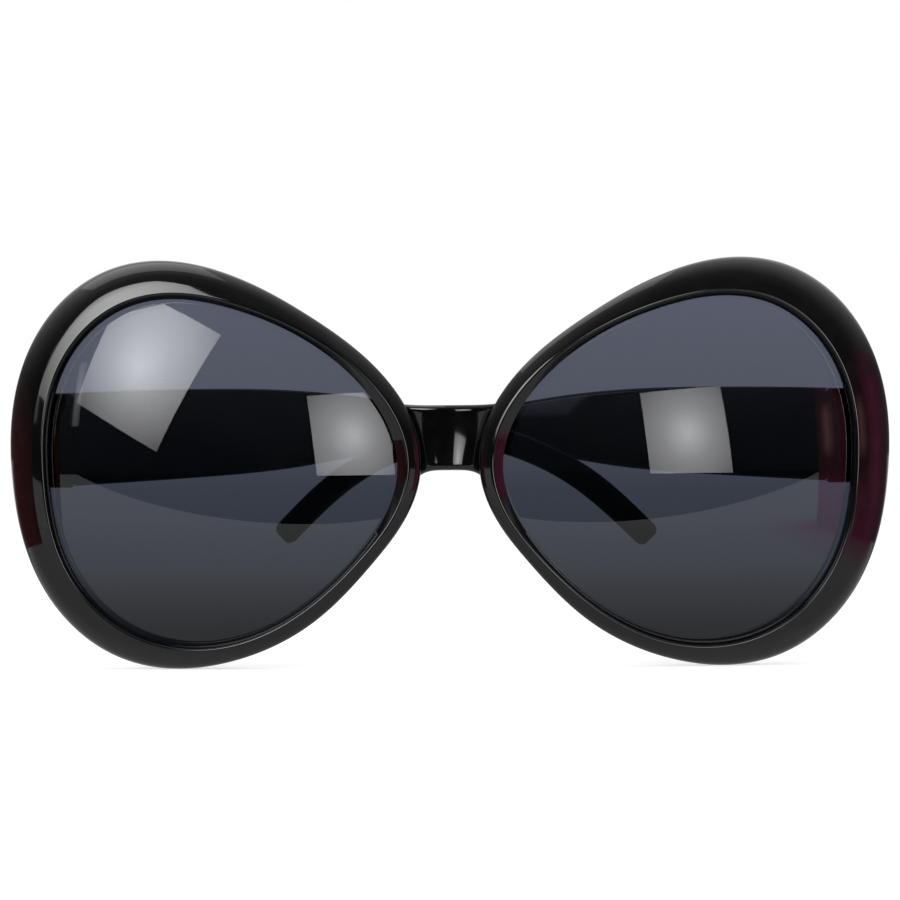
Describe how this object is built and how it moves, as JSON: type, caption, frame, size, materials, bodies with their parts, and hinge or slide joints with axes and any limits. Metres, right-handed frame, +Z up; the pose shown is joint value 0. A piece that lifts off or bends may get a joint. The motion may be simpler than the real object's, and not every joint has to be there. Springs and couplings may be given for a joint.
{
  "type": "party glasses",
  "caption": "Oversized butterfly sunglasses in glossy black plastic with smoke lenses and folding arms on screwed metal hinges.",
  "frame": {"origin": "middle of the flat land on the back of the bridge, where the glasses face the nose", "axes": "as worn: +Z up, the front looks along -Y, the arms open towards +Y, and the wearer's left is +X"},
  "size_m": [0.1598, 0.0476, 0.074],
  "materials": {
    "front_plastic": "injection moulded, polished to a high gloss, black",
    "arm_plastic": "injection moulded, glossy, black",
    "lens_plastic": "polished smoke tint, see-through",
    "hinge_metal": "nickel plated, satin",
    "screw_metal": "bright turned steel"
  },
  "bodies": {
    "front": {"front_frame": "front_plastic", "left_lens": "lens_plastic", "right_lens": "lens_plastic", "left_front_hinge": "hinge_metal", "right_front_hinge": "hinge_metal", "left_hinge_screw": "screw_metal", "right_hinge_screw": "screw_metal", "left_front_screw_upper": "screw_metal", "left_front_screw_lower": "screw_metal", "right_front_screw_upper": "screw_metal", "right_front_screw_lower": "screw_metal"},
    "left_arm": {"left_temple": "arm_plastic", "left_temple_hinge": "hinge_metal", "left_temple_screw_upper": "screw_metal", "left_temple_screw_lower": "screw_metal"},
    "right_arm": {"right_temple": "arm_plastic", "right_temple_hinge": "hinge_metal", "right_temple_screw_upper": "screw_metal", "right_temple_screw_lower": "screw_metal"}
  },
  "joints": [
    {"name": "left_hinge", "type": "hinge", "parent": "front", "child": "left_arm", "pos_m": [0.0744, 0.00935, 0], "axis": [0, 0, -1], "range_deg": [0, 76]},
    {"name": "right_hinge", "type": "hinge", "parent": "front", "child": "right_arm", "pos_m": [-0.0744, 0.00935, 0], "axis": [0, 0, 1], "range_deg": [0, 94]}
  ],
  "couplings": [
    {"joint": "right_hinge", "follows": "left_hinge", "ratio": 1.2368}
  ]
}
